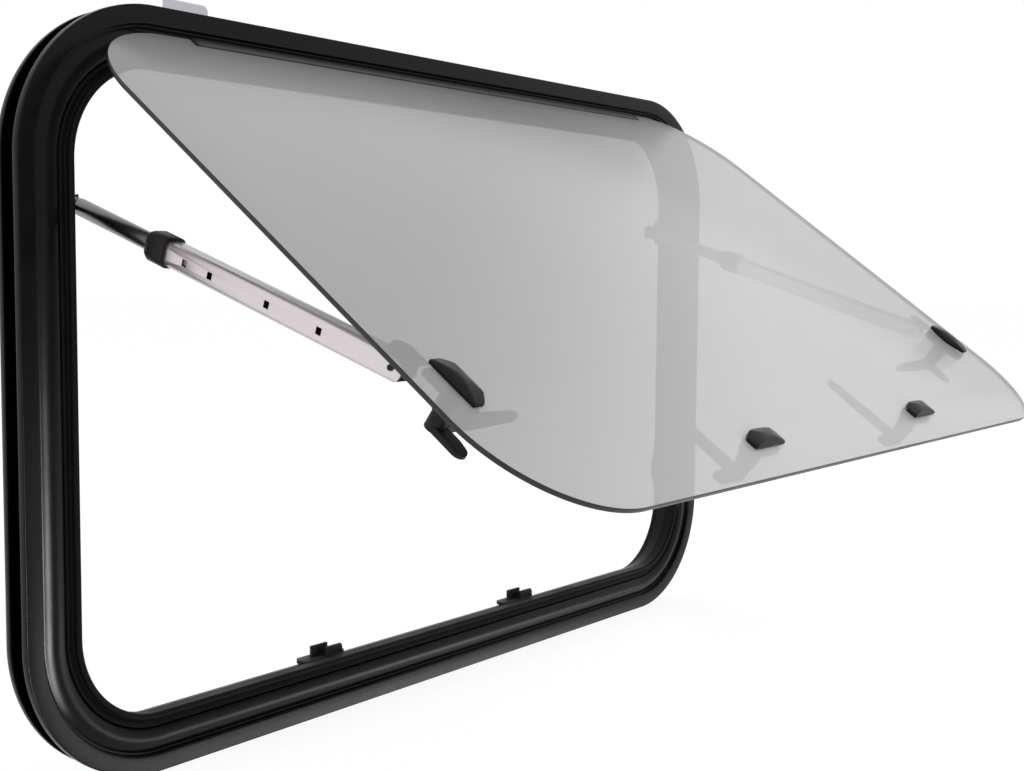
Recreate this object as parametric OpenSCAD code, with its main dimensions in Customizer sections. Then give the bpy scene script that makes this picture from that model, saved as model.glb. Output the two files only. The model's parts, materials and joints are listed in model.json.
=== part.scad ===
// Top-hung caravan window, shown open on its two telescopic stays.
// X runs to the right seen from outside, Y runs into the vehicle, Z is up.
// The origin is on the back of the outer flange, at the middle of its bottom run.

/* [Frame] */
// Width over the outer flange
frame_w = 940; // [780:5:1300]
// Height over the outer flange
frame_h = 590; // [500:5:800]
// Corner radius of the outer flange
corner_r = 119; // [110:1:140]
// Width of the flange that lies on the wall
seat_w = 20.5; // [18:0.5:22]
// Height of the flange's flat face in front of the wall
band_t = 6.5; // [5:0.5:8]
// Height of the flange's thin outer edge
edge_t = 2.8; // [2:0.1:4]
// Radius of the rounding between edge and flat face
edge_round = 4.5; // [3:0.5:8]
// Flat band from the rim to the hinge groove
band_w = 15.3; // [13:0.1:16.5]
// Wall that is left behind the hinge groove
groove_floor = 1.6; // [1.4:0.1:2.5]
// Step of the flange profile's seam in front of the wall face
seam_step = 0.4; // [0.2:0.1:0.6]
// Distance from the rim to the crest of the bead
crest_inset = 26.5; // [25:0.5:29]
// Height of the bead's crest in front of the wall
crest_t = 5.8; // [4:0.1:5.9]
// Distance from the rim to the pane rebate
rebate_inset = 35.3; // [34.5:0.1:36.5]
// Depth of the pane rebate's floor behind the wall face
rebate_d = 5; // [4:0.5:6]
// Thickness of the frame's floors and webs
web_t = 2; // [1.5:0.1:2.5]
// Distance from the rim to the throat's inner face
throat_inset = 43; // [42.5:0.5:45]
// Depth of the throat behind the wall face
throat_d = 20; // [19:0.5:24]
// Inset of the middle of the screw slot
slot_inset = 30; // [29:0.5:31]
// Depth of the screw slot's two ribs behind the wall face
slot_d = 15; // [12:0.5:15.5]
// Thickness of the screw slot's ribs
rib_t = 1.5; // [1:0.1:2]
// Depth of the web that fills the cut-out in the wall
hole_web_d = 14; // [8:0.5:16]

/* [Glass seal] */
// How far the seal stands in front of the wall face
seal_front = 6.6; // [6.3:0.1:7]
// Gap between the bead and the seal
seal_gap = 0.5; // [0.3:0.1:1]
// Width of the seal's inner lip
seal_lip = 1.4; // [1:0.1:2]
// How far the seal laps over the rebate's edge
seal_lap = 0.6; // [0.4:0.1:1.5]

/* [Clamp ring] */
// Thickness of the wall that the window is clamped on
wall_t = 16.5; // [16:0.5:20]
// Distance that the ring's edge stays inside the flange's edge
clamp_inset = 1.6; // [1:0.1:4]
// Height of the ring's crown above the wall's inner face
clamp_h = 13.5; // [11:0.5:16]
// Distance from the rim to the ring's inner edge
clamp_lip_inset = 39.4; // [38.5:0.1:39.6]
// Thickness of the ring's shell
clamp_t = 2; // [1.6:0.1:2.5]
// Radius of the clamp screws' shanks
screw_r = 1.35; // [1.2:0.05:1.4]
// Radius of the clamp screws' heads
screw_head_r = 3.6; // [3:0.1:4]
// Height of the clamp screws' heads
screw_head_h = 2.2; // [1.6:0.1:3]
// Distance of the outer screws in the top and bottom runs from the rim
screw_side_inset = 170; // [150:5:220]
// Distance of the screws in the side runs from the rim
screw_end_inset = 185; // [150:5:200]

/* [Pane] */
// Gap between the rim and the glass at the sides
pane_inset = 37; // [36.5:0.5:40]
// Gap between the rim and the closed glass at the top
pane_top_inset = 24; // [23.5:0.5:25]
// Gap between the rim and the closed glass at the bottom
pane_bottom_inset = 27.5; // [27:0.5:32]
// Thickness of the glass
glass_t = 4; // [3:0.5:4]
// Corner radius of the glass
pane_r = 92.5; // [85:0.5:100]
// Angle by which the pane stands open
open_angle = 54.2; // [50:0.2:60]

/* [Hinge] */
// Distance of the hinge's ends from the rim
hinge_inset = 157; // [152:1:200]
// Distance of the hinge axis in front of the wall face
axis_y = 4.2; // [4.1:0.1:4.4]
// Distance of the axis behind the glass's outer face
axis_behind = 6; // [5.9:0.1:6.3]
// Distance of the axis below the glass's top edge
axis_below = 3; // [2.8:0.1:3.2]
// Radius of the leaf's rod
rod_r = 1.5; // [1.2:0.1:1.6]
// Running clearance of the rod in its cup
rod_gap = 0.2; // [0.1:0.05:0.3]
// Wall of the cup round the rod
cup_t = 1.2; // [0.8:0.1:1.3]
// Wall of the hinge leaf
leaf_t = 1.3; // [1:0.1:1.5]
// Height of the leaf's outer leg on the glass
leaf_leg = 10; // [8:0.5:14]
// Length of the end plugs
plug_l = 4; // [2:0.5:6]
// Width of the hinge rail's foot
foot_w = 7; // [7:0.5:9]
// Depth of the hinge rail's foot behind the wall face
foot_d = 1; // [0.5:0.1:2]
// Play of the hinge rail in its slot
rail_gap = 0.3; // [0.1:0.05:0.5]
// Distance that the bead is milled off beyond each end of the hinge
mill_over = 62; // [58:1:70]
// Width of the strip along the top that the bead is milled off
mill_w = 10.5; // [10.5:0.5:14]

/* [Latches] */
// Length of a latch cap
cap_l = 43.5; // [40:0.5:52]
// Width of a latch cap
cap_w = 18; // [17:0.5:24]
// Height of a latch cap's crown
cap_h = 7; // [5:0.5:10]
// Height of a latch cap at its ends
cap_end_h = 3; // [2:0.5:4]
// Height of a latch cap's wall at the glass
cap_wall = 1.5; // [1:0.1:1.8]
// Width of a latch cap at its blunt ends
cap_end_w = 10; // [8:0.5:14]
// Distance from the pane's edge to the straight side of the caps
cap_edge = 26; // [24:0.5:34]
// Distance of the side latches above the glass's lower edge
side_latch_up = 120.5; // [115:0.5:128]
// Distance of the bottom latches from the glass's side edges
bottom_latch_in = 288; // [200:1:290]
// Height of a latch base's plate on the glass
plate_h = 5; // [3:0.5:8]
// Radius of a latch base's post
post_r = 7.5; // [7:0.5:8.5]
// Height of a latch base's post above the glass
base_h = 18; // [12:0.5:20]
// Radius of the stud that goes through the glass
stud_r = 4.8; // [4:0.1:6]
// Clearance of the stud in the glass
stud_gap = 0.2; // [0.1:0.05:0.5]
// Radius of the lever's hub
hub_r = 6.5; // [6:0.5:9]
// Height of the lever's hub
hub_h = 12.5; // [10:0.5:16]
// Radius of the pivot pin
pin_r = 2.5; // [2:0.1:3]
// Radial running clearance of the lever on its pin
pin_gap = 0.05; // [0.03:0.01:0.1]
// Running gap above and below the hub
hub_gap = 0.1; // [0.05:0.05:0.3]
// Length of the lever's handle from the pivot
handle_l = 80; // [60:1:84]
// Width of the handle at the hub
handle_w = 11; // [9:0.5:12]
// Width of the handle's tip
handle_tip = 6; // [4:0.5:8]
// Thickness of the handle
handle_t = 5; // [4:0.5:6]
// Length of the lever's tongue from the pivot
tongue_l = 29; // [24:1:32]
// Width of the tongue
tongue_w = 11.5; // [9:0.5:12]
// Thickness of the tongue
tongue_t = 4.5; // [4:0.5:6]
// Length of the ramp under the tongue's tip
ramp_l = 12; // [6:1:14]
// Rise of that ramp
ramp_h = 2; // [1:0.5:2.5]

/* [Keepers] */
// Length of a keeper's base
keeper_l = 56; // [50:1:64]
// Width of a keeper's base
keeper_w = 16; // [15:0.5:18]
// Thickness of a keeper's base
keeper_t = 3; // [2:0.5:4]
// Distance of a keeper's front edge behind the wall face
keeper_y = 11; // [8:0.5:12]
// Height of a keeper's catch above its base
catch_h = 7.5; // [6:0.5:10]
// Length of a keeper's catch and of its fence
catch_l = 20; // [16:1:22]
// Distance of a keeper's middle from its latch
keeper_shift = 7; // [0:0.5:10]

/* [Stays] */
// Distance of the stays from the rim
stay_inset = 62; // [60:0.5:66]
// Distance of the frame pivot below the rim
stay_drop = 148.5; // [140:0.5:170]
// Depth of the frame pivot behind the wall face
stay_frame_y = 22; // [20:0.5:22]
// Distance of the pane pivot above the glass's lower edge
stay_pane_up = 157.5; // [156:0.5:180]
// Distance of the pane pivot behind the glass's inner face
stay_pane_d = 11.5; // [11.5:0.5:13]
// Height of the outer tube
tube_h = 18; // [16:0.5:18.5]
// Width of the outer tube
tube_w = 15.6; // [15:0.2:17]
// Wall of the outer tube
tube_t = 1; // [0.8:0.1:1.1]
// Length of the outer tube from the pane pivot
tube_l = 226; // [190:1:240]
// Rounding of the outer tube's edges
tube_round = 4; // [2:0.5:5]
// Radius of the inner tube
inner_r = 6.5; // [5.5:0.1:6.5]
// Wall of the inner tube
inner_t = 1; // [0.8:0.1:1.5]
// Length of the inner tube that stays in the outer tube
inner_in = 50; // [30:1:100]
// Side of the square index holes
hole_a = 5; // [3:0.5:6]
// Distances of the index holes from the pane pivot
hole_at = [64, 114, 172, 199];
// Length of the collar
collar_l = 21; // [17:0.5:25]
// Length of the collar that grips the outer tube
collar_grip = 5; // [4:0.5:10]
// Wall of the collar
collar_t = 2; // [1.5:0.1:3]
// Radius of the stays' pivot pins
stay_pin_r = 2; // [1.5:0.1:2.5]
// Clearance of the pins in the tubes
stay_pin_gap = 0.05; // [0.03:0.01:0.1]
// Radius of the inner tube's flat eye
eye_r = 5.5; // [4.5:0.1:6]
// Length of that eye
eye_reach = 14; // [12:0.5:18]
// Thickness of the eye and of the lug that the pins go through
eye_t = 5; // [4:0.5:6]
// Thickness of the bracket's ears and plates
ear_t = 2; // [1.5:0.1:2.5]
// Side clearance of eye and tube in their brackets
ear_gap = 0.3; // [0.2:0.05:0.5]

/* [Top clip] */
// Distance of the clip's middle from the rim
clip_inset = 167; // [150:1:300]
// Width of the clip
clip_w = 44; // [30:1:60]
// Height of the clip above the flange's edge
clip_rise = 12; // [6:0.5:20]
// Thickness of the clip
clip_t = 1.5; // [1:0.1:2]
// Corner radius of the clip
clip_r = 5; // [2:0.5:8]

/* [Hidden] */
$fn = 48;
// Middle of the window above the origin
mid_z = frame_h / 2 - seat_w / 2;
// Width of the glass, its top edge and the hinge axis when closed
pane_w = frame_w - 2 * pane_inset;
pane_h = frame_h - pane_top_inset - pane_bottom_inset;
top_edge_z = frame_h / 2 - pane_top_inset;
axis_z = top_edge_z - axis_below;
// Half length of the hinge
hinge_half = frame_w / 2 - hinge_inset;
// Inner edge of the rebate
rebate_end = throat_inset + 3;
// Crown of the clamp ring behind the wall face
clamp_y = wall_t + clamp_h;
// Angles between which the hinge cup is open, from the inward direction upwards
cup_a0 = 90 - open_angle;
cup_a1 = 234;

// Points on an elliptical arc about c from angle a0 to a1
function arc(c, ru, ry, a0, a1, n) =
    [for (i = [0:n]) let (a = a0 + (a1 - a0) * i / n) [c[0] + ru * cos(a), c[1] + ry * sin(a)]];

// Sweeps a section of (inset, depth) points round the rounded rectangle of the rim
module ring(section) {
    cx = frame_w / 2 - corner_r;
    cz = frame_h / 2 - corner_r;
    pts = [for (p = section) [corner_r - p[0], -p[1]]];
    at = [[cx, cz], [-cx, cz], [-cx, -cz], [cx, -cz]];
    run = [2 * cz, 2 * cx, 2 * cz, 2 * cx];
    translate([0, 0, mid_z]) rotate([90, 0, 0])
        for (i = [0:3])
            translate([at[i][0], at[i][1], 0]) rotate([0, 0, 90 * i]) {
                rotate_extrude(angle = 90, $fn = 96) polygon(pts);
                rotate([90, 0, 0]) linear_extrude(run[i]) polygon(pts);
            }
}

module round_rect(w, h, r) {
    square([w - 2 * r, h], center = true);
    square([w, h - 2 * r], center = true);
    for (x = [-1, 1], y = [-1, 1])
        translate([x * (w / 2 - r), y * (h / 2 - r)]) circle(r);
}

// Extrudes a drawing in X, Z towards the inside, from depth y0 to y1
module inwards(y0, y1) {
    translate([0, y1, 0]) rotate([90, 0, 0]) linear_extrude(y1 - y0) children();
}

// Places its children with the open pane: Y = 0 is the glass's outer face, Z = 0 its top edge
module on_pane() {
    translate([0, -axis_y, mid_z + axis_z]) rotate([-open_angle, 0, 0])
        translate([0, -axis_behind, axis_below]) children();
}

// Frame

// Flange, groove and bead, flat behind, with its seam a step in front of the flange's back
face_section = concat(
    [[0, 0], [0, -edge_t]],
    arc([edge_round, -edge_t], edge_round, band_t - edge_t, 180, 270, 6),
    [[band_w, -band_t], [band_w + 0.3, -groove_floor], [seat_w, -groove_floor]],
    arc([crest_inset, -groove_floor], crest_inset - seat_w, crest_t - groove_floor, 180, 270, 6),
    arc([crest_inset, -groove_floor], rebate_inset - crest_inset, crest_t - groove_floor, 285, 345, 4),
    [[rebate_inset, -seam_step], [seat_w, -seam_step], [seat_w, 0]]);

// Rebate and throat inside, screw slot and hole web behind
throat_section = concat(
    [[seat_w, -seam_step], [rebate_inset, -seam_step], [rebate_inset, rebate_d], [rebate_end, rebate_d],
     [rebate_end, rebate_d + web_t], [throat_inset, rebate_d + web_t], [throat_inset, throat_d],
     [throat_inset - web_t, throat_d], [throat_inset - web_t, rebate_d + web_t]],
    slot_rib(slot_inset + screw_r + rib_t), slot_rib(slot_inset - screw_r),
    [[seat_w + web_t, rebate_d + web_t], [seat_w + web_t, hole_web_d], [seat_w, hole_web_d]]);

function slot_rib(inner) =
    [[inner, rebate_d + web_t], [inner, slot_d], [inner - rib_t, slot_d], [inner - rib_t, rebate_d + web_t]];

// Slot for the hinge rail and its end plugs
module rail_slot() {
    rail_half = hinge_half + plug_l + rail_gap;
    translate([-rail_half, -crest_t - 1, mid_z + axis_z - foot_w / 2 - rail_gap])
        cube([2 * rail_half, crest_t + 1 + foot_d, foot_w + 2 * rail_gap]);
}

module outer_frame() {
    mill_half = hinge_half + mill_over;
    color("#26262a") difference() {
        ring(face_section);
        // The bead is milled off along the top, where the glass swings
        translate([-mill_half, -crest_t - 1, mid_z + frame_h / 2 - seat_w - mill_w])
            cube([2 * mill_half, crest_t + 1 - groove_floor, mill_w]);
        rail_slot();
    }
}

module throat_frame() {
    color("#202024") difference() {
        ring(throat_section);
        rail_slot();
    }
}

// Hollow shell, rounded over on the outside and turned down at its inner edge
clamp_section = concat(
    [[clamp_inset, wall_t], [clamp_inset, wall_t + clamp_t]],
    arc([clamp_inset + 12, wall_t + clamp_t], 12, clamp_h - clamp_t, 180, 90, 6),
    arc([clamp_lip_inset - 3, clamp_y - 3], 3, 3, 90, 0, 4),
    [[clamp_lip_inset, wall_t + 5], [clamp_lip_inset - clamp_t, wall_t + 5],
     [clamp_lip_inset - clamp_t, clamp_y - clamp_t - 1], [clamp_lip_inset - clamp_t - 1, clamp_y - clamp_t]],
    arc([clamp_inset + 12, wall_t + clamp_t], 12 - clamp_t, clamp_h - 2 * clamp_t, 90, 180, 6),
    [[clamp_inset + clamp_t, wall_t]]);

screw_spots = let (sx = frame_w / 2 - slot_inset, sz = frame_h / 2 - slot_inset) concat(
    [for (x = [-1, -1 / 3, 1 / 3, 1], s = [-1, 1]) [x * (frame_w / 2 - screw_side_inset), s * sz]],
    [for (z = [-1, 1], s = [-1, 1]) [s * sx, z * (frame_h / 2 - screw_end_inset)]]);

module at_screws(y) {
    for (p = screw_spots)
        translate([p[0], y, mid_z + p[1]]) rotate([90, 0, 0]) children();
}

module clamp_frame() {
    color("#1c1c1f") difference() {
        ring(clamp_section);
        at_screws(clamp_y + 1) cylinder(h = clamp_t + 2, r = screw_r + 0.3);
    }
}

module clamp_screws() {
    color("#3a3a3e") at_screws(clamp_y + screw_head_h) {
        difference() {
            cylinder(h = screw_head_h, r1 = screw_head_r - 1, r2 = screw_head_r);
            for (a = [0, 90])
                rotate([0, 0, a]) translate([-screw_head_r / 2, -0.4, -0.2]) cube([screw_head_r, 0.8, 1]);
        }
        translate([0, 0, screw_head_h]) cylinder(h = clamp_y - rebate_d - web_t - 1, r = screw_r);
    }
}

// Fills the rebate, with a broad shoulder against the glass and a thin lip round the rebate's edge
seal_section = concat(
    [[rebate_inset + seal_gap, rebate_d]],
    arc([rebate_end - 3, -seal_front + 3], rebate_end - 3 - rebate_inset - seal_gap, 3, 180, 270, 6),
    [[rebate_end - 1.4, -seal_front + 1.6]],
    arc([rebate_end, -seal_front + seal_lip], seal_lip, seal_lip, 200, 360, 6),
    [[rebate_end + seal_lap, -seal_front + 6], [rebate_end + seal_lap, rebate_d + web_t],
     [rebate_end, rebate_d + web_t], [rebate_end, rebate_d]]);

module glass_seal() {
    color("#1a1a1c") ring(seal_section);
}

// Hinge

module hinge_rail() {
    cup_r = rod_r + rod_gap + cup_t;
    color("#3c3c40") translate([-hinge_half, 0, mid_z + axis_z]) rotate([90, 0, 90])
        linear_extrude(2 * hinge_half) difference() {
            union() {
                translate([-axis_y, 0]) circle(cup_r);
                translate([-axis_y, -cup_t]) square([axis_y + foot_d, 2 * cup_t]);
                translate([foot_d - 1.2, -foot_w / 2]) square([1.2, foot_w]);
            }
            translate([-axis_y, 0]) circle(rod_r + rod_gap);
            // The cup is open where the glass and its leaf swing
            translate([-axis_y, 0])
                polygon([[0, 0], for (a = [cup_a0, 90, 150, 200, cup_a1]) 2 * cup_r * [cos(a), sin(a)]]);
        }
}

module hinge_leaf() {
    color("#58585c") on_pane() translate([-hinge_half, 0, 0]) rotate([90, 0, 90])
        linear_extrude(2 * hinge_half) {
            // Outer leg, top and inner leg round the glass, then the rod behind it
            translate([-leaf_t, -leaf_leg]) square([leaf_t, leaf_leg + leaf_t]);
            translate([-leaf_t, 0]) square([glass_t + 2 * leaf_t, leaf_t]);
            translate([glass_t, -axis_below]) square([leaf_t, axis_below + leaf_t]);
            translate([axis_behind, -axis_below]) circle(rod_r);
        }
}

module hinge_end(side) {
    // Plug against the leaf's end face, round the top edge of the glass
    color("#121214") on_pane() translate([side > 0 ? hinge_half : -hinge_half - plug_l, -leaf_t, 0]) {
        translate([0, 0, -leaf_leg]) cube([plug_l, leaf_t, leaf_leg]);
        cube([plug_l, glass_t + 2 * leaf_t, leaf_t]);
        translate([0, glass_t + leaf_t, -axis_below]) cube([plug_l, leaf_t, axis_below]);
    }
}

// Pane

latch_side_x = pane_w / 2 - cap_edge - cap_w / 2;
latch_bottom_s = pane_h - cap_edge - cap_w / 2;
side_latch_s = pane_h - side_latch_up;
bottom_latch_x = pane_w / 2 - bottom_latch_in;
latch_spots = [[-latch_side_x, side_latch_s], [latch_side_x, side_latch_s],
    [-bottom_latch_x, latch_bottom_s], [bottom_latch_x, latch_bottom_s]];

module glass_pane() {
    color("#8d8f92", 0.6) on_pane() difference() {
        translate([0, 0, -pane_h / 2]) inwards(0, glass_t) round_rect(pane_w, pane_h, pane_r, $fn = 96);
        for (p = latch_spots)
            translate([p[0], 0, -p[1]]) inwards(-1, glass_t + 1) circle(stud_r + stud_gap);
    }
}

// Latches

// Children are drawn for a bottom latch: -Z points to the pane's edge, Y inwards
module at_latch(x, s, turn) {
    on_pane() translate([x, 0, -s]) rotate([0, turn, 0]) children();
}

// Radius of an arc with the given chord and rise
function arc_r(chord, rise) = (chord * chord / 4 + rise * rise) / (2 * rise);

// D outline with its straight side down and blunt ends
module d_shape() {
    r = arc_r(cap_l, cap_w - cap_end_w);
    intersection() {
        translate([0, cap_w / 2 - r]) circle(r, $fn = 96);
        translate([-cap_l / 2, -cap_w / 2]) square([cap_l, cap_w]);
    }
}

module latch_cap() {
    // Domed: a crown along its length, and an ellipse across it with its crest near the straight side
    crown = cap_h - cap_end_h;
    crown_r = arc_r(cap_l, crown);
    color("#141416") intersection() {
        inwards(-cap_h, 0) d_shape();
        translate([0, crown_r - cap_h, 0]) cylinder(r = crown_r, h = cap_w + 2, center = true, $fn = 144);
        rotate([90, 0, 90]) linear_extrude(cap_l + 2, center = true) polygon(concat([[0, -cap_w / 2]],
            arc([-cap_wall, -0.15 * cap_w], cap_wall - cap_h, 0.35 * cap_w, -90, -9, 6),
            arc([-cap_wall, -0.15 * cap_w], cap_wall - cap_h, 0.65 * cap_w, 0, 90, 8), [[0, cap_w / 2]]));
    }
}

module latch_base() {
    top = glass_t + base_h;
    color("#1c1c1e") {
        inwards(glass_t, glass_t + plate_h) d_shape();
        inwards(glass_t + plate_h, top) circle(post_r);
        inwards(0, glass_t) circle(stud_r);
        inwards(top, top + hub_h + 2 * hub_gap) circle(pin_r);
        inwards(top + hub_h + 2 * hub_gap, top + hub_h + 2 * hub_gap + 1) circle(pin_r + 1.5);
    }
}

module latch_lever() {
    y0 = glass_t + base_h + hub_gap;
    y1 = y0 + hub_h;
    tip = handle_tip / 2;
    knee = handle_l * 0.45;
    color("#1a1a1c") difference() {
        union() {
            inwards(y0, y1) circle(hub_r);
            // Handle, tapering to its tip
            inwards(y1 - handle_t, y1) {
                polygon([[-handle_w / 2, 0], [-handle_w / 2, knee], [-tip, handle_l - tip],
                    [tip, handle_l - tip], [handle_w / 2, knee], [handle_w / 2, 0]]);
                translate([0, handle_l - tip]) circle(tip);
            }
            inwards(y1 - tongue_t, y1) {
                translate([0, -tongue_w / 2]) square([tongue_l - tongue_w / 2, tongue_w]);
                translate([tongue_l - tongue_w / 2, 0]) circle(tongue_w / 2);
            }
        }
        inwards(y0 - 1, y1 + 1) circle(pin_r + pin_gap);
        // Ramp on the tongue that pulls the pane tight
        translate([tongue_l, y1 - tongue_t, 0]) linear_extrude(tongue_w + 2, center = true)
            polygon([[1, -1], [-ramp_l, -1], [-ramp_l, 0], [1, ramp_h]]);
    }
}

module keeper() {
    // Base with a pointed end, an upright fence at the back and a rounded catch in front
    back = keeper_y + keeper_w;
    half = keeper_l / 2;
    color("#161618") translate([-keeper_shift, 0, 0]) {
        linear_extrude(keeper_t) polygon([[-half, keeper_y + 2], [-half + 3, keeper_y], [half - 13, keeper_y],
            [half, keeper_y + 7], [half - 9, back], [-half + 5, back], [-half, back - 5]]);
        translate([-catch_l / 2, back - 6, keeper_t]) cube([catch_l, 3, catch_h + 1.5]);
        translate([0, 0, keeper_t]) rotate([90, 0, 90]) linear_extrude(catch_l) polygon(concat(
            [[keeper_y + 6.5, 0], [keeper_y + 1, 0]],
            arc([keeper_y + 3.75, catch_h - 2.75], 2.75, 2.75, 180, 0, 8)));
    }
}

// Children are drawn on the sill and turned to another side of the throat
module on_throat(side, along) {
    w = side % 2 == 0 ? frame_h / 2 - throat_inset : frame_w / 2 - throat_inset;
    translate([0, 0, mid_z]) rotate([0, 90 * side, 0]) translate([along, 0, -w]) children();
}

// Stays

// Pane and frame pivots in the Y, Z plane, and the line between them
stay_x = frame_w / 2 - stay_inset;
stay_pane_s = pane_h - stay_pane_up;
pane_pivot = let (y = -axis_behind + glass_t + stay_pane_d, z = axis_below - stay_pane_s)
    [-axis_y + y * cos(open_angle) + z * sin(open_angle), axis_z - y * sin(open_angle) + z * cos(open_angle)];
frame_pivot = [stay_frame_y, frame_h / 2 - stay_drop];
stay_dir = pane_pivot - frame_pivot;
stay_len = norm(stay_dir);
stay_slope = atan2(-stay_dir[1], -stay_dir[0]);

// Children are drawn along +X from the pane pivot up to the frame pivot
module on_stay(side) {
    translate([side * stay_x, pane_pivot[0], mid_z + pane_pivot[1]]) rotate([stay_slope, 0, 0])
        rotate([0, 0, 90]) children();
}

module tube_section(grow) {
    round_rect(tube_w + 2 * grow, tube_h + 2 * grow, tube_round + grow);
}

module stay_outer_tube(side) {
    end_r = tube_h / 2;
    color("#d8cfd0") on_stay(side) difference() {
        translate([-end_r, 0, 0]) rotate([90, 0, 90]) linear_extrude(tube_l + end_r) tube_section(0);
        translate([-end_r - 1, 0, 0]) rotate([90, 0, 90])
            linear_extrude(tube_l + end_r + 2) tube_section(-tube_t);
        // End rounded about the pivot
        rotate([90, 0, 0]) linear_extrude(tube_w + 2, center = true) difference() {
            translate([-end_r - 1, -end_r - 1]) square([end_r + 1, 2 * end_r + 2]);
            circle(end_r);
        }
        rotate([90, 0, 0]) cylinder(r = stay_pin_r + stay_pin_gap, h = tube_w + 2, center = true);
        // Slot for the pane bracket's lug
        translate([-end_r - 1, -eye_t / 2 - ear_gap, 0]) cube([end_r + 15, eye_t + 2 * ear_gap, end_r + 1]);
        // Index holes in the side that faces the frame
        for (x = hole_at)
            translate([x - hole_a / 2, side < 0 ? 0 : -tube_w / 2 - 1, -hole_a / 2])
                cube([hole_a, tube_w / 2 + 1, hole_a]);
    }
}

module stay_inner_tube(side) {
    start = tube_l - inner_in;
    color("#6d6e72") on_stay(side) difference() {
        union() {
            translate([start, 0, 0]) rotate([0, 90, 0])
                cylinder(r = inner_r, h = stay_len - start - eye_reach);
            translate([stay_len - eye_reach - 1, -eye_t / 2, -eye_r]) cube([eye_reach + 1, eye_t, 2 * eye_r]);
            translate([stay_len, 0, 0]) rotate([90, 0, 0]) cylinder(r = eye_r, h = eye_t, center = true);
        }
        translate([start - 1, 0, 0]) rotate([0, 90, 0])
            cylinder(r = inner_r - inner_t, h = stay_len - start - eye_reach - 2);
        translate([stay_len, 0, 0]) rotate([90, 0, 0])
            cylinder(r = stay_pin_r + stay_pin_gap, h = eye_t + 2, center = true);
    }
}

module stay_collar(side) {
    color("#131315") on_stay(side) difference() {
        translate([tube_l - collar_grip, 0, 0]) rotate([90, 0, 90]) {
            linear_extrude(collar_l - 4) tube_section(collar_t);
            // Tapered end
            translate([0, 0, collar_l - 4]) linear_extrude(4, scale = 0.84) tube_section(collar_t);
        }
        translate([tube_l - collar_grip - 1, 0, 0]) rotate([90, 0, 90]) linear_extrude(collar_grip + 1.1)
            tube_section(0.1);
        translate([tube_l - 1, 0, 0]) rotate([0, 90, 0]) cylinder(r = inner_r + 0.1, h = collar_l);
    }
}

module stay_pane_bracket(side) {
    // Half-oval plate on the glass, lug and pin
    color("#1a1a1c") on_pane() translate([side * stay_x, glass_t, -stay_pane_s]) {
        inwards(0, 1.6) {
            translate([-9, -12]) square([18, 15]);
            translate([0, 3]) circle(9);
        }
        translate([-eye_t / 2, 1, -4]) cube([eye_t, stay_pane_d + 2, 8]);
        translate([0, stay_pane_d, 0]) rotate([0, 90, 0])
            cylinder(r = stay_pin_r, h = tube_w + 2, center = true);
    }
}

module stay_frame_bracket(side) {
    // Plate on the throat, a web behind the eye and two ears with the pin
    plate_x = frame_w / 2 - throat_inset - stay_x;
    ear_x = eye_t / 2 + ear_gap;
    web_y = eye_r + 1;
    color("#1a1a1c") translate([side * stay_x, frame_pivot[0], mid_z + frame_pivot[1]])
        mirror([side < 0 ? 1 : 0, 0, 0]) {
            translate([plate_x - ear_t, -stay_frame_y + rebate_d + web_t + 1, -14])
                cube([ear_t, stay_frame_y + web_y - rebate_d - web_t - 1 + ear_t, 28]);
            translate([-ear_x - ear_t, web_y, -7]) cube([plate_x + ear_x + ear_t, ear_t, 14]);
            for (x = [-ear_x - ear_t, ear_x])
                translate([x, -4, -eye_r]) cube([ear_t, web_y + 4 + ear_t / 2, 2 * eye_r]);
            rotate([0, 90, 0]) cylinder(r = stay_pin_r, h = 2 * (ear_x + ear_t) + 2, center = true);
        }
}

module top_clip() {
    h = seat_w + clip_rise;
    color("#b9b9c0") translate([clip_inset - frame_w / 2, 0, mid_z + frame_h / 2 - seat_w]) {
        inwards(wall_t - clip_t, wall_t) {
            translate([-clip_w / 2, 0]) square([clip_w, h - clip_r]);
            translate([-clip_w / 2, 0]) square([clip_w - clip_r, h]);
            translate([clip_w / 2 - clip_r, h - clip_r]) circle(clip_r);
        }
        translate([-clip_w / 2, 5, 0]) cube([clip_w, wall_t - 5, clip_t]);
    }
}

outer_frame();
throat_frame();
clamp_frame();
clamp_screws();
glass_seal();
hinge_rail();
hinge_leaf();
hinge_end(-1);  // hinge_end_left
hinge_end(1);  // hinge_end_right
glass_pane();
at_latch(-latch_side_x, side_latch_s, 90) latch_cap();  // latch_cap_left
at_latch(latch_side_x, side_latch_s, -90) latch_cap();  // latch_cap_right
at_latch(-bottom_latch_x, latch_bottom_s, 0) latch_cap();  // latch_cap_bottom_left
at_latch(bottom_latch_x, latch_bottom_s, 0) latch_cap();  // latch_cap_bottom_right
at_latch(-latch_side_x, side_latch_s, 90) latch_base();  // latch_base_left
at_latch(latch_side_x, side_latch_s, -90) latch_base();  // latch_base_right
at_latch(-bottom_latch_x, latch_bottom_s, 0) latch_base();  // latch_base_bottom_left
at_latch(bottom_latch_x, latch_bottom_s, 0) latch_base();  // latch_base_bottom_right
at_latch(-latch_side_x, side_latch_s, 90) latch_lever();  // latch_lever_left
at_latch(latch_side_x, side_latch_s, -90) mirror([1, 0, 0]) latch_lever();  // latch_lever_right
at_latch(-bottom_latch_x, latch_bottom_s, 0) mirror([1, 0, 0]) latch_lever();  // latch_lever_bottom_left
at_latch(bottom_latch_x, latch_bottom_s, 0) mirror([1, 0, 0]) latch_lever();  // latch_lever_bottom_right
on_throat(1, side_latch_s - top_edge_z) keeper();  // keeper_left
on_throat(-1, top_edge_z - side_latch_s) mirror([1, 0, 0]) keeper();  // keeper_right
on_throat(0, -bottom_latch_x) keeper();  // keeper_bottom_left
on_throat(0, bottom_latch_x) keeper();  // keeper_bottom_right
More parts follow.
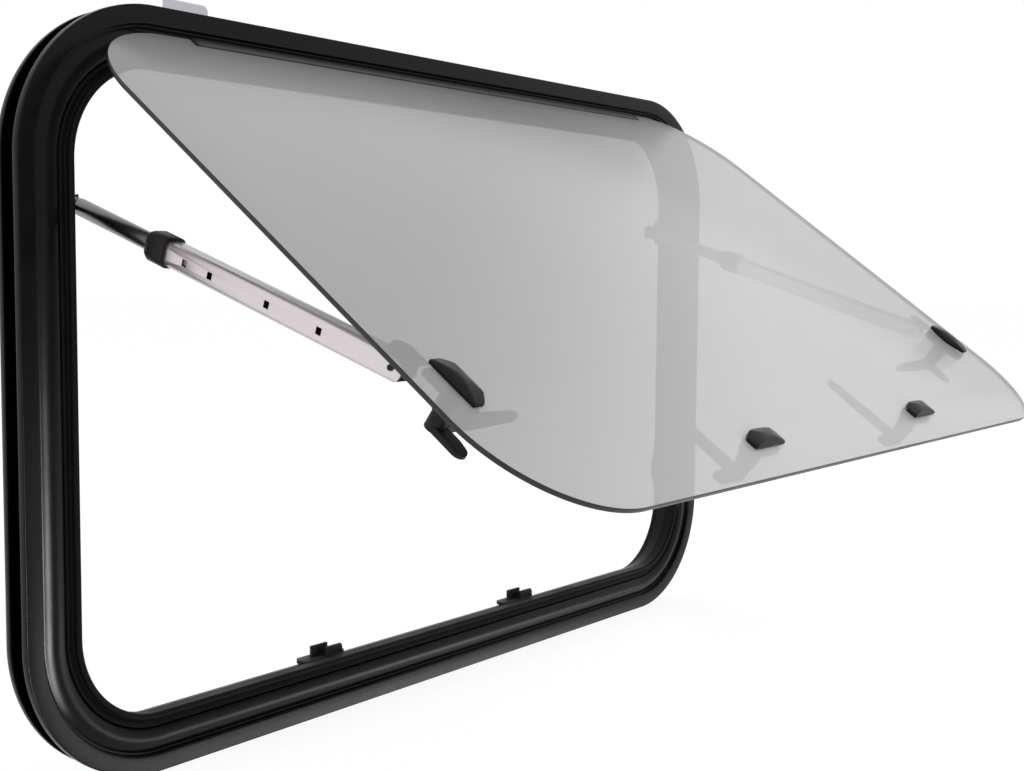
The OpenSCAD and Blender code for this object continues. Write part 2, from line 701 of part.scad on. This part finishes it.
stay_inner_tube(-1);  // stay_inner_tube_left
stay_collar(-1);  // stay_collar_left
stay_outer_tube(-1);  // stay_outer_tube_left
stay_frame_bracket(-1);  // stay_frame_bracket_left
stay_pane_bracket(-1);  // stay_pane_bracket_left
stay_inner_tube(1);  // stay_inner_tube_right
stay_collar(1);  // stay_collar_right
stay_outer_tube(1);  // stay_outer_tube_right
stay_frame_bracket(1);  // stay_frame_bracket_right
stay_pane_bracket(1);  // stay_pane_bracket_right
top_clip();
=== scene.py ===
"""A top-hung caravan window standing open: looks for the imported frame.

The sections follow the window as it is put together: frame, clamp ring, seal, hinge,
glass, latches, keepers, stays and clip. Lengths are written in millimetres and turned
to metres by MM.
"""
import json
import math

import bpy
from mathutils import Euler, Matrix, Vector

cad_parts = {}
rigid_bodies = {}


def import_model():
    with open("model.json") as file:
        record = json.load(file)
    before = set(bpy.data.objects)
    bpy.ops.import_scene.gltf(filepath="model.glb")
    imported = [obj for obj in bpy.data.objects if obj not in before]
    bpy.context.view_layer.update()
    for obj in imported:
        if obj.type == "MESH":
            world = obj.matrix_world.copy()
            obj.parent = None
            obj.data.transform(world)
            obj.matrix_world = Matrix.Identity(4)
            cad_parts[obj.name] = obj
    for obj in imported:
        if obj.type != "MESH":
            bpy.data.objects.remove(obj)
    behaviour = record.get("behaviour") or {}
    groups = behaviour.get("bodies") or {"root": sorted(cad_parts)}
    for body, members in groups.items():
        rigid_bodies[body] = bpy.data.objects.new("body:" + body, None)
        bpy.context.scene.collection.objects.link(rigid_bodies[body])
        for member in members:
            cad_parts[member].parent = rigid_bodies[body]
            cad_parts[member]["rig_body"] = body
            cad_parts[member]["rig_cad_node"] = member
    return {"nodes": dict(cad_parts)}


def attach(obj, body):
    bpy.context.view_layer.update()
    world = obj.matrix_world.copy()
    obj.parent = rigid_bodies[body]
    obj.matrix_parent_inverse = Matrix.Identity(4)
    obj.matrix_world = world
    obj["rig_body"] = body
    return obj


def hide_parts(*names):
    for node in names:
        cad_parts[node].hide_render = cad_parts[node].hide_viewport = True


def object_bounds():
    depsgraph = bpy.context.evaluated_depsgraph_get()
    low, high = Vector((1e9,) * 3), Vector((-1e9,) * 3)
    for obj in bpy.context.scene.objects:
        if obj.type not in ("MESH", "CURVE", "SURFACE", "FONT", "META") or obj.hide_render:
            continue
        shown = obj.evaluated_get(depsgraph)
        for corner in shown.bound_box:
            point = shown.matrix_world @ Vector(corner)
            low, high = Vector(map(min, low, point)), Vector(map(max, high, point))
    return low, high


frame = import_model()
cad_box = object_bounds()
cad_nodes = frame["nodes"]
MM = 0.001

# ---- Camera ----
# Stands left of the window and a little above its middle, looking into the opened pane.
# Place, turn and focal length come from a pinhole fit to the photographed outline.
CAMERA_AT = Vector((-1043.98, -878.18, 381.21)) * MM
CAMERA_YAW = math.radians(52.58)
CAMERA_PITCH = math.radians(-4.56)
CAMERA_ROLL = math.radians(0.46)
FOCAL_PX = 1410.74
PICTURE_W_PX = 1024

camera_data = bpy.data.cameras.new("camera")
camera_data.sensor_width = 36.0
camera_data.lens = camera_data.sensor_width * FOCAL_PX / PICTURE_W_PX
camera_data.clip_end = 100.0
camera = bpy.data.objects.new("camera", camera_data)
bpy.context.scene.collection.objects.link(camera)
camera.matrix_world = (
    Matrix.Translation(CAMERA_AT)
    @ Euler((math.pi / 2 + CAMERA_PITCH, 0, -CAMERA_YAW)).to_matrix().to_4x4()
    @ Matrix.Rotation(CAMERA_ROLL, 4, "Z")
)
bpy.context.scene.camera = camera

# ---- Outer frame ----
# One aluminium extrusion bent round four corners and butt-jointed below: a flange on the
# wall, a groove, a rounded bead and a rebate for the glass. Black powder coat all over.
FRAME_W = 940
FRAME_H = 590
CORNER_R = 119
SEAT_W = 20.5
MID_Z = FRAME_H / 2 - SEAT_W / 2
CORNER_STEPS = 40
PATCH_MM = 60
SMOOTH_ANGLE = 32


def linear(hex_colour):
    """sRGB hex to the linear colour that shaders take."""
    parts = [int(hex_colour[i:i + 2], 16) / 255 for i in (1, 3, 5)]
    return [p / 12.92 if p <= 0.04045 else ((p + 0.055) / 1.055) ** 2.4 for p in parts] + [1.0]


def add_node(material, kind, settings, links=None):
    """Adds a shader node, sets its properties and sockets, and links its inputs."""
    tree = material.node_tree
    made = tree.nodes.new(kind)
    for key, value in settings.items():
        if isinstance(key, str) and hasattr(made, key):
            setattr(made, key, value)
        else:
            made.inputs[key].default_value = value
    for key, source in (links or {}).items():
        tree.links.new(source, made.inputs[key])
    return made


def new_material(name, settings):
    """A material with its Principled shader set, and the shader itself."""
    material = bpy.data.materials.new(name)
    material.use_nodes = True
    shader = material.node_tree.nodes["Principled BSDF"]
    for key, value in settings.items():
        shader.inputs[key].default_value = value
    return material, shader


def give_surface(material, shader, grain_mm, height_mm, rough_low, rough_high, dark, light,
                 stretch=(1, 1, 1)):
    """Grain as bump, and slow patches in colour and roughness, on Object coordinates."""
    coords = add_node(material, "ShaderNodeTexCoord", {})
    turn = add_node(material, "ShaderNodeMapping", {"Scale": stretch},
                    {"Vector": coords.outputs["Object"]})
    grain = add_node(material, "ShaderNodeTexNoise",
                     {"Scale": 1000 / grain_mm, "Detail": 3.0, "Roughness": 0.55},
                     {"Vector": turn.outputs["Vector"]})
    patches = add_node(material, "ShaderNodeTexNoise",
                       {"Scale": 1000 / PATCH_MM, "Detail": 4.0, "Roughness": 0.6},
                       {"Vector": turn.outputs["Vector"]})
    tone = add_node(material, "ShaderNodeMix",
                    {"data_type": "RGBA", 6: linear(dark), 7: linear(light)},
                    {0: patches.outputs["Fac"]})
    gloss = add_node(material, "ShaderNodeMapRange",
                     {"From Min": 0.3, "From Max": 0.7, "To Min": rough_low, "To Max": rough_high},
                     {"Value": patches.outputs["Fac"]})
    bump = add_node(material, "ShaderNodeBump", {"Strength": 0.5, "Distance": height_mm * MM},
                    {"Height": grain.outputs["Fac"]})
    links = material.node_tree.links
    links.new(tone.outputs[2], shader.inputs["Base Color"])
    links.new(gloss.outputs["Result"], shader.inputs["Roughness"])
    links.new(bump.outputs["Normal"], shader.inputs["Normal"])


def use_object(obj):
    """Makes the piece the only one selected, and the active one."""
    bpy.ops.object.select_all(action="DESELECT")
    obj.select_set(True)
    bpy.context.view_layer.objects.active = obj


def apply_modifiers(obj):
    """Applies the piece's modifiers in their order."""
    use_object(obj)
    for modifier in list(obj.modifiers):
        bpy.ops.object.modifier_apply(modifier=modifier.name)


def round_edges(obj, width_mm, segments=2, angle=SMOOTH_ANGLE):
    """Breaks the sharp edges, as paint or a mould does, and shades the rest smooth."""
    bevel = obj.modifiers.new("edge", "BEVEL")
    bevel.width = width_mm * MM
    bevel.segments = segments
    bevel.limit_method = "ANGLE"
    bevel.angle_limit = math.radians(angle)
    bevel.use_clamp_overlap = True
    apply_modifiers(obj)
    bpy.ops.object.shade_smooth_by_angle(angle=math.radians(angle))


def dress(obj, name, material, slot, *replaced, body="root"):
    obj.name = name
    obj.data.name = name
    obj.data.materials.clear()
    obj.data.materials.append(material)
    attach(obj, body)
    if replaced:
        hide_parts(*replaced)


def rounded_plate(width, height, radius, depth, facing):
    """A rounded rectangle in the plane of the window, facing out (-1) or in (+1)."""
    bpy.ops.mesh.primitive_plane_add(size=1, location=(0, depth * MM, MID_Z * MM),
                                     rotation=(math.pi / 2 * -facing, 0, 0))
    plate = bpy.context.object
    plate.scale = (width * MM, height * MM, 1)
    bpy.ops.object.transform_apply(location=True, rotation=True, scale=True)
    bpy.ops.object.mode_set(mode="EDIT")
    bpy.ops.mesh.select_all(action="SELECT")
    bpy.ops.mesh.bevel(offset=radius * MM, offset_type="OFFSET", segments=CORNER_STEPS,
                       affect="VERTICES")
    bpy.ops.mesh.select_all(action="SELECT")
    return plate


def inset_along(path, facing):
    """Insets the selected face step by step along (inset, depth) points, then opens it."""
    for (u0, y0), (u1, y1) in zip(path, path[1:]):
        bpy.ops.mesh.inset(thickness=(u1 - u0) * MM, depth=(y1 - y0) * MM * facing,
                           use_even_offset=True)
    bpy.ops.mesh.delete(type="FACE")
    bpy.ops.object.mode_set(mode="OBJECT")


def swept_ring(front, back):
    """A bent extrusion: front and back of its section meet at the rim and inside."""
    halves = []
    for path, facing in ((front, -1), (back, 1)):
        rim = path[0][0]
        halves.append(rounded_plate(FRAME_W - 2 * rim, FRAME_H - 2 * rim, CORNER_R - rim,
                                    path[0][1], facing))
        inset_along(path, facing)
    use_object(halves[0])
    halves[1].select_set(True)
    bpy.ops.object.join()
    bpy.ops.object.mode_set(mode="EDIT")
    bpy.ops.mesh.select_all(action="SELECT")
    bpy.ops.mesh.remove_doubles(threshold=0.01 * MM)
    bpy.ops.mesh.normals_make_consistent(inside=False)
    bpy.ops.object.mode_set(mode="OBJECT")
    return bpy.context.object


def arc(u, y, ru, ry, start, end, steps):
    """Points on an elliptical arc of the section, angles in degrees."""
    turns = [math.radians(start + (end - start) * i / steps) for i in range(steps + 1)]
    return [(u + ru * math.cos(t), y + ry * math.sin(t)) for t in turns]


def cut_box(obj, low, high):
    """Mills a box out of the piece, corners in millimetres."""
    middle = [(a + b) / 2 * MM for a, b in zip(low, high)]
    bpy.ops.mesh.primitive_cube_add(size=1, location=middle)
    cutter = bpy.context.object
    cutter.scale = [(b - a) * MM for a, b in zip(low, high)]
    bpy.ops.object.transform_apply(location=True, rotation=True, scale=True)
    mill = obj.modifiers.new("mill", "BOOLEAN")
    mill.operation = "DIFFERENCE"
    mill.solver = "EXACT"
    mill.object = cutter
    apply_modifiers(obj)
    bpy.data.objects.remove(cutter)


# The section, in points (inset from the rim, depth behind the wall face). In front lie the
# flat band, the groove, the bead with its long slope and round crest, and the rebate.
EDGE_T = 2.8
BAND_T = 6.5
GROOVE = 1.6
CREST_INSET = 26.5
CREST_T = 5.8
REBATE_INSET = 35.3
REBATE_D = 5
REBATE_END = 46
band = (
    [(0, -EDGE_T)] + arc(1, 1 - BAND_T, 1, 1, 180, 270, 5)
    + arc(12.8, 2 - BAND_T, 2, 2, 270, 350, 5) + arc(15.9, -3.2, 1.1, 1.1, 180, 60, 4)
)
bead = (
    arc(31.17, 21.39, 27.7, 27.7, 239, 255, 8) + arc(27.1, 6.22, 12, 12, 257, 275, 4)
    + arc(CREST_INSET, -GROOVE, 8.8, CREST_T - GROOVE, 290, 345, 6)
)
front_path = band + bead + [(REBATE_INSET, REBATE_D), (REBATE_END, REBATE_D)]

# Behind lie the seat on the wall, the hole web, two ribs that hold the clamp ring's screws
# between them, and the throat.
WEB_D = 7
HOLE_WEB_D = 14
RIB_D = 15
THROAT_D = 20
back_path = [
    (0, -EDGE_T), (0, 0), (SEAT_W, 0), (SEAT_W, HOLE_WEB_D), (22.5, HOLE_WEB_D), (22.5, WEB_D),
    (27.15, WEB_D), (27.15, RIB_D), (28.65, RIB_D), (28.65, WEB_D),
    (31.35, WEB_D), (31.35, RIB_D), (32.85, RIB_D), (32.85, WEB_D),
    (41, WEB_D), (41, THROAT_D), (43, THROAT_D), (43, WEB_D),
    (REBATE_END, WEB_D), (REBATE_END, REBATE_D),
]

# Powder coat over aluminium: near black with a satin gloss, and a fine orange peel of about
# a millimetre that softens the long highlights.
powder_coat, shader = new_material("black_powder_coat", {"IOR": 1.5, "Specular IOR Level": 0.13})
give_surface(powder_coat, shader, 0.9, 0.008, 0.26, 0.32, "#070708", "#0c0c0d")

frame_ring = swept_ring(front_path, back_path)
round_edges(frame_ring, 0.35)
# The top run is milled twice from the front: the bead is cut away over the hinge, and a
# slot is sunk for the hinge rail.
BEAD_CUT_HALF = 375
RAIL_SLOT_HALF = 317.3
top_z = MID_Z + FRAME_H / 2
cut_box(frame_ring, (-BEAD_CUT_HALF, -20, top_z - 31), (BEAD_CUT_HALF, -GROOVE, top_z - SEAT_W))
cut_box(frame_ring, (-RAIL_SLOT_HALF, -20, top_z - 30.8), (RAIL_SLOT_HALF, 1, top_z - 23.2))
bpy.ops.object.shade_smooth_by_angle(angle=math.radians(SMOOTH_ANGLE))
dress(frame_ring, "frame_extrusion", powder_coat, "black_frame", "outer_frame", "throat_frame")

# ---- Clamp ring ----
# A second bent aluminium profile, pushed over the frame's back from inside the vehicle
# and drawn up against the wall by twelve screws. Black powder coat.
WALL_T = 16.5
CLAMP_Y = 30
RING_RIM = 1.6
RING_INSIDE = 39.4
ring_front = (
    [(RING_RIM, WALL_T + 2), (RING_RIM, WALL_T), (3.6, WALL_T)]
    + arc(13.6, WALL_T + 2, 10, 9.5, 180, 90, 8)[1:]
    + [(36.4, CLAMP_Y - 2), (37.4, CLAMP_Y - 3), (37.4, WALL_T + 5), (RING_INSIDE, WALL_T + 5)]
)
ring_back = (
    [(RING_RIM, WALL_T + 2)] + arc(13.6, WALL_T + 2, 12, 11.5, 180, 90, 10)[1:]
    + arc(36.4, CLAMP_Y - 3, 3, 3, 90, 0, 6) + [(RING_INSIDE, WALL_T + 5)]
)
clamp_ring = swept_ring(ring_front, ring_back)
round_edges(clamp_ring, 0.3)
dress(clamp_ring, "clamp_ring", powder_coat, "black_frame", "clamp_frame")


MERGE_MM = 0.002
FLAT_ANGLE = 0.6


def copy_of(node_name, round_mm, segments=3):
    """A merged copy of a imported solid, its edges rounded as they leave the mould."""
    use_object(cad_nodes[node_name])
    bpy.ops.object.duplicate()
    piece = bpy.context.object
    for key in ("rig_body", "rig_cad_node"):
        del piece[key]
    piece.parent = None
    bpy.ops.object.mode_set(mode="EDIT")
    bpy.ops.mesh.select_all(action="SELECT")
    bpy.ops.mesh.remove_doubles(threshold=MERGE_MM * MM)
    bpy.ops.mesh.dissolve_limited(angle_limit=math.radians(FLAT_ANGLE))
    bpy.ops.object.mode_set(mode="OBJECT")
    round_edges(piece, round_mm, segments)
    return piece


# Black oxide steel screws: a dull sheen.
black_screw, shader = new_material("black_oxide_steel", {"Metallic": 1.0})
give_surface(black_screw, shader, 0.6, 0.01, 0.4, 0.5, "#2b2b2e", "#38383b")
dress(copy_of("clamp_screws", 0.15, 1), "ring_screws", black_screw, "black_screw", "clamp_screws")

# ---- Glass seal ----
# A soft black rubber profile that fills the rebate: a recessed shelf beside the bead, and a
# round lip round the opening that the closed glass lies on.
SEAL_INSET = 35.8
SEAL_SKIRT = 46.6
SEAL_EDGE = 47.4
LIP_R = 2.5
LIP_Y = -4.1
seal_front = (
    [(SEAL_INSET, REBATE_D), (SEAL_INSET, -2)] + arc(37, -2, 1.2, 1.2, 180, 270, 4)[1:]
    + arc(41.4, -2.2, 1, 1, 90, 20, 3)
    + arc(44.9, LIP_Y, LIP_R, LIP_R, 190, 360, 12)[:-1] + [(SEAL_EDGE, LIP_Y)]
)
seal_back = [(SEAL_INSET, REBATE_D), (REBATE_END, REBATE_D), (REBATE_END, WEB_D), (SEAL_SKIRT, WEB_D),
             (SEAL_SKIRT, -0.6), (SEAL_EDGE, LIP_Y)]
rubber, shader = new_material("epdm_rubber", {"IOR": 1.5, "Specular IOR Level": 0.1})
give_surface(rubber, shader, 0.7, 0.02, 0.45, 0.6, "#0e0c0c", "#161312")
seal_ring = swept_ring(seal_front, seal_back)
bpy.ops.object.shade_smooth_by_angle(angle=math.radians(SMOOTH_ANGLE))
dress(seal_ring, "rubber_seal", rubber, "seal_rubber", "glass_seal")

# ---- Hinge ----
# The rail is an aluminium cup screwed into the frame's top. The leaf is an extrusion that
# grips the edge of the glass and hangs in the cup by its rod, closed by a plug each end.
anodised, shader = new_material("dark_anodised_aluminium", {"Metallic": 0.7})
give_surface(anodised, shader, 0.4, 0.01, 0.38, 0.48, "#3c3b3d", "#4a484a", stretch=(0.04, 1, 1))
moulded, shader = new_material("moulded_nylon", {"IOR": 1.5, "Specular IOR Level": 0.25})
give_surface(moulded, shader, 0.5, 0.02, 0.42, 0.52, "#0c0c0d", "#121213")

dress(copy_of("hinge_rail", 0.2, 2), "hinge_cup", powder_coat, "black_frame", "hinge_rail")
dress(copy_of("hinge_leaf", 0.25, 2), "hinge_profile", anodised, "grey_extrusion", "hinge_leaf")
for side in ("left", "right"):
    dress(copy_of("hinge_end_" + side, 0.3, 2), "hinge_plug_" + side, moulded, "black_plastic",
          "hinge_end_" + side)

# ---- Glass ----
# One pane of toughened safety glass, 4 mm thick, coated grey: it shows what stands behind
# it only faintly, and its colour carries a painted reflection, deeper grey to the left and
# lighter to the right. Its ground edge looks dark. The leaf above holds it, open on its hinge axis.
PANE_W = 866
PANE_H = 538.5
PANE_R = 92.5
GLASS_T = 4
OPEN_ANGLE = 54.2
HINGE_AXIS = Vector((0, -4.2, MID_Z + 268))
AXIS_TO_TOP_EDGE = Vector((0, -6, 3))
to_pane = (
    Matrix.Translation(HINGE_AXIS * MM)
    @ Matrix.Rotation(math.radians(-OPEN_ANGLE), 4, "X")
    @ Matrix.Translation(AXIS_TO_TOP_EDGE * MM)
)
smoked, shader = new_material("smoked_safety_glass", {"IOR": 1.5, "Alpha": 0.67})
shader.inputs["Roughness"].default_value = 0.26
# Painted reflection: the glass colour goes from darker to lighter along this direction, between two
# distances in metres
PAINTED_REFLECTION_AXIS = (1, -1.716, 0)
PAINTED_REFLECTION_START = 0.05
PAINTED_REFLECTION_END = 0.62
coords = add_node(smoked, "ShaderNodeTexCoord", {})
painted_reflection_place = add_node(smoked, "ShaderNodeVectorMath", {"operation": "DOT_PRODUCT", 1: PAINTED_REFLECTION_AXIS},
                  {0: coords.outputs["Object"]})
depth = add_node(smoked, "ShaderNodeMapRange",
                 {"interpolation_type": "SMOOTHSTEP", "From Min": PAINTED_REFLECTION_START, "From Max": PAINTED_REFLECTION_END},
                 {"Value": painted_reflection_place.outputs["Value"]})
# The painted reflection's two greys, darker and lighter, mixed by the ramp above
tone = add_node(smoked, "ShaderNodeMix",
                {"data_type": "RGBA", 6: linear("#a9a8a9"), 7: linear("#dcdadb")},
                {0: depth.outputs["Result"]})
smoked.node_tree.links.new(tone.outputs[2], shader.inputs["Base Color"])
cut_edge, shader = new_material("ground_glass_edge", {"IOR": 1.5})
give_surface(cut_edge, shader, 0.5, 0.02, 0.3, 0.4, "#101012", "#19191b")
pane = rounded_plate(PANE_W, PANE_H, PANE_R, 0, -1)
bpy.ops.mesh.extrude_region_move(TRANSFORM_OT_translate={"value": (0, GLASS_T * MM, 0)})
bpy.ops.mesh.select_all(action="SELECT")
bpy.ops.mesh.normals_make_consistent(inside=False)
bpy.ops.object.mode_set(mode="OBJECT")
round_edges(pane, 0.7, 2, 60)
pane.data.transform(Matrix.Translation(Vector((0, 0, -MID_Z - PANE_H / 2)) * MM))
pane.data.transform(to_pane)
dress(pane, "glass_sheet", smoked, "smoked_glass", "glass_pane")
pane.data.materials.append(cut_edge)
across_glass = to_pane.to_3x3() @ Vector((0, 1, 0))
for polygon in pane.data.polygons:
    if abs(polygon.normal.dot(across_glass)) < 0.5:
        polygon.material_index = 1

# ---- Latches ----
# Four turn latches. A domed cap in gloss ABS outside and a nylon base inside clamp the
# glass, and the lever on the base has a handle and a tongue that swings behind the keeper.
CAP_GRID_MM = 0.45
CAP_ROUNDS = 36


def melt_facets(piece):
    """Turns a faceted dome into one soft form: an even grid of faces, then smoothed."""
    grid = piece.modifiers.new("grid", "REMESH")
    grid.mode = "VOXEL"
    grid.voxel_size = CAP_GRID_MM * MM
    smooth = piece.modifiers.new("smooth", "SMOOTH")
    smooth.factor = 0.5
    smooth.iterations = CAP_ROUNDS
    apply_modifiers(piece)
    bpy.ops.object.shade_smooth()


glossy, shader = new_material("gloss_moulded_abs", {"IOR": 1.53, "Specular IOR Level": 0.18})
give_surface(glossy, shader, 2.0, 0.006, 0.3, 0.38, "#0a0a0b", "#0f0f10")
for place in ("left", "right", "bottom_left", "bottom_right"):
    cap = copy_of("latch_cap_" + place, 1.2, 4)
    melt_facets(cap)
    dress(cap, "cap_" + place, glossy, "cap_plastic", "latch_cap_" + place)
    dress(copy_of("latch_base_" + place, 0.4), "base_" + place, moulded, "black_plastic",
          "latch_base_" + place)
    dress(copy_of("latch_lever_" + place, 1.0), "lever_" + place, moulded, "black_plastic",
          "latch_lever_" + place, body="lever_" + place)

# ---- Keepers ----
# Black nylon catches screwed to the inside of the frame, one for each latch's tongue.
for place in ("left", "right", "bottom_left", "bottom_right"):
    dress(copy_of("keeper_" + place, 0.5), "catch_" + place, moulded, "black_plastic",
          "keeper_" + place)

# ---- Stays ----
# Two telescopic stays hold the pane: a polished inner tube slides in a satin anodised
# outer tube with square index holes, and a black collar locks it.
satin, shader = new_material("satin_anodised_aluminium", {"Metallic": 1.0})
give_surface(satin, shader, 0.3, 0.01, 0.3, 0.36, "#d3cacc", "#ded5d7", stretch=(1, 0.04, 0.04))
chrome, shader = new_material("polished_chrome_tube", {"Metallic": 1.0})
give_surface(chrome, shader, 0.5, 0.004, 0.2, 0.28, "#5f6064", "#747579", stretch=(1, 0.04, 0.04))
for side in ("left", "right"):
    dress(copy_of("stay_outer_tube_" + side, 0.15, 2), "outer_tube_" + side, satin, "satin_tube",
          "stay_outer_tube_" + side)
    dress(copy_of("stay_inner_tube_" + side, 0.3, 2), "inner_tube_" + side, chrome, "chrome_tube",
          "stay_inner_tube_" + side)
    dress(copy_of("stay_collar_" + side, 0.6), "collar_" + side, moulded, "black_plastic",
          "stay_collar_" + side)
    for end in ("frame", "pane"):
        bracket = "stay_%s_bracket_%s" % (end, side)
        dress(copy_of(bracket, 0.3, 2), "%s_bracket_%s" % (end, side), moulded, "black_plastic",
              bracket)

# ---- Top clip ----
# A zinc-plated steel clip hooked over the back of the frame for mounting.
zinc, shader = new_material("zinc_plated_steel", {"Metallic": 1.0})
give_surface(zinc, shader, 1.5, 0.02, 0.35, 0.5, "#b4b4bb", "#c4c4ca")
dress(copy_of("top_clip", 0.2, 2), "fitting_clip", zinc, "clip_metal", "top_clip")

# ---- Studio ----
# A white floor that keeps the shadow and is hidden from gloss, and a white surround that
# the camera, gloss and clear materials see. Two soft lamps light all pieces at a plain
# level, and two more show only as gloss on the frame.
FLOOR_GLOW = 1.12
FLOOR_GLOW_SHARE = 0.8
WORLD_LIGHT = 0.55
low = cad_box[0]
bpy.ops.mesh.primitive_plane_add(size=40, location=(0, 0, low[2] - 0.5 * MM))
floor = bpy.context.object
floor.name = "studio_floor"
paper, shader = new_material(
    "white_paper_floor", {"Base Color": linear("#f4f4f4"), "Roughness": 0.9, "Specular IOR Level": 0.0})
tree = paper.node_tree
path_kind = add_node(paper, "ShaderNodeLightPath", {})
white = add_node(paper, "ShaderNodeEmission", {"Color": (1, 1, 1, 1), "Strength": FLOOR_GLOW})
share = add_node(paper, "ShaderNodeMath", {"operation": "MULTIPLY", 1: FLOOR_GLOW_SHARE},
                 {0: path_kind.outputs["Is Camera Ray"]})
blend = add_node(paper, "ShaderNodeMixShader", {},
                 {0: share.outputs[0], 1: shader.outputs[0], 2: white.outputs[0]})
tree.links.new(blend.outputs[0], tree.nodes["Material Output"].inputs["Surface"])
floor.data.materials.append(paper)
floor.visible_glossy = False

world = bpy.data.worlds.new("studio_surround")
bpy.context.scene.world = world
world.use_nodes = True
sky = world.node_tree.nodes["Background"]
path_kind = add_node(world, "ShaderNodeLightPath", {})
seen = add_node(world, "ShaderNodeMath", {"operation": "MAXIMUM"},
                {0: path_kind.outputs["Is Camera Ray"], 1: path_kind.outputs["Is Glossy Ray"]})
seen = add_node(world, "ShaderNodeMath", {"operation": "MAXIMUM"},
                {0: seen.outputs[0], 1: path_kind.outputs["Is Transmission Ray"]})
level = add_node(world, "ShaderNodeMapRange", {"To Min": WORLD_LIGHT, "To Max": 1.0},
                 {"Value": seen.outputs[0]})
world.node_tree.links.new(level.outputs["Result"], sky.inputs["Strength"])
sky.inputs["Color"].default_value = (1, 1, 1, 1)

frame_only = bpy.data.collections.new("frame_only")
frame_only.objects.link(frame_ring)


def soft_lamp(name, at, target, width, height, power, mirrored):
    """A soft box pointed at the target. A mirrored one draws a long highlight on the frame
    and does nothing else; the others give plain light and no highlight."""
    data = bpy.data.lights.new(name, "AREA")
    data.shape = "RECTANGLE"
    data.size = width
    data.size_y = height
    data.energy = power
    lamp = bpy.data.objects.new(name, data)
    bpy.context.scene.collection.objects.link(lamp)
    lamp.location = at
    lamp.rotation_euler = (Vector(target) - Vector(at)).to_track_quat("-Z", "Y").to_euler()
    lamp.visible_diffuse = not mirrored
    lamp.visible_glossy = mirrored
    if mirrored:
        lamp.light_linking.receiver_collection = frame_only


soft_lamp("key_lamp", (-1.2, -2.4, 2.8), (0, -0.1, 0.3), 1.8, 1.8, 34, False)
soft_lamp("back_lamp", (1.8, 2.2, 2.4), (0, 0, 0.3), 1.6, 1.6, 30, False)
soft_lamp("edge_lamp", (-1.15, -2.85, -1.1), (-0.44, 0, 0.05), 0.6, 1.9, 250, True)
soft_lamp("low_lamp", (1.6, -1.8, -1.0), (0, 0, 0), 1.6, 0.8, 21, True)

bpy.context.scene.view_settings.view_transform = "Standard"
